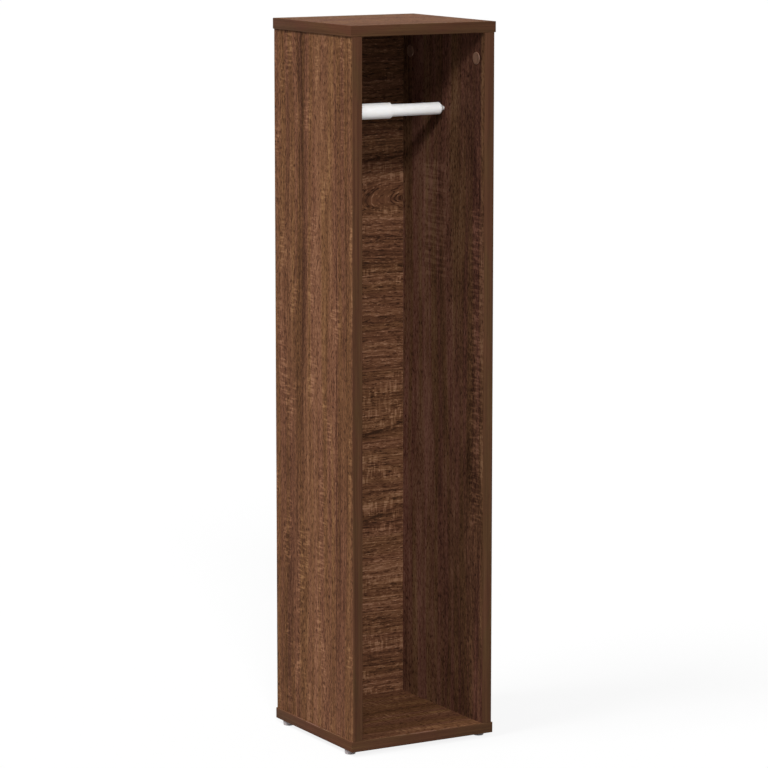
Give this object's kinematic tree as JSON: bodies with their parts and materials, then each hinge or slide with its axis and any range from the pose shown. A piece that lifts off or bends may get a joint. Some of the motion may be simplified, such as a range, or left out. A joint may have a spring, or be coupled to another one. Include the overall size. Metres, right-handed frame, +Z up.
{
  "type": "toilet roll storage cabinet",
  "caption": "Narrow free-standing open-front cabinet in dark oak decor, with a sprung roll spindle across its top and open storage for upright rolls below.",
  "frame": {"origin": "on the floor, under the middle of the cabinet's outline, at the underside of the glides", "axes": "+Z up; +Y to the back panel, so the open front faces -Y; +X to the right as seen from the front"},
  "size_m": [0.225, 0.225, 1],
  "materials": {
    "oak_decor_board": "matt printed oak decor on chipboard, dark brown, sawn grain",
    "printed_hardboard": "printed hardboard, matt, grain across",
    "decor_edge_band": "satin plastic edge band, dark brown",
    "zinc_diecast": "die-cast zinc, satin",
    "plated_steel": "zinc-plated steel",
    "spring_steel": "drawn spring wire",
    "brown_plastic": "moulded plastic cap, satin",
    "beech": "bare beech",
    "grey_plastic": "slightly translucent grey plastic",
    "white_plastic": "white moulded plastic, semi-gloss"
  },
  "bodies": {
    "cabinet": {"top_panel": "oak_decor_board", "base_panel": "oak_decor_board", "left_side_panel": "oak_decor_board", "right_side_panel": "oak_decor_board", "back_panel": "printed_hardboard", "top_front_edge_band": "decor_edge_band", "top_left_edge_band": "decor_edge_band", "top_right_edge_band": "decor_edge_band", "base_front_edge_band": "decor_edge_band", "base_left_edge_band": "decor_edge_band", "base_right_edge_band": "decor_edge_band", "left_side_edge_band": "decor_edge_band", "right_side_edge_band": "decor_edge_band", "cam_housings": "zinc_diecast", "cam_bolts": "plated_steel", "cam_covers": "brown_plastic", "top_dowels": "beech", "base_screws": "plated_steel", "back_panel_nails": "plated_steel", "front_left_glide": "grey_plastic", "front_right_glide": "grey_plastic", "rear_left_glide": "grey_plastic", "rear_right_glide": "grey_plastic", "glide_nails": "plated_steel"},
    "spindle_sleeve": {"spindle_sleeve": "white_plastic", "spindle_spring": "spring_steel"},
    "spindle_plunger": {"spindle_plunger": "white_plastic"}
  },
  "joints": [
    {"name": "spindle_spin", "type": "hinge", "parent": "cabinet", "child": "spindle_sleeve", "pos_m": [0, -0.0015, 0.875], "axis": [1, 0, 0], "continuous": true},
    {"name": "plunger_slide", "type": "slide", "parent": "spindle_sleeve", "child": "spindle_plunger", "axis": [1, 0, 0], "range_m": [-0.015, 0], "stiffness_N_per_m": 200, "springref_m": 0.012, "deforming": ["spindle_spring"]}
  ]
}
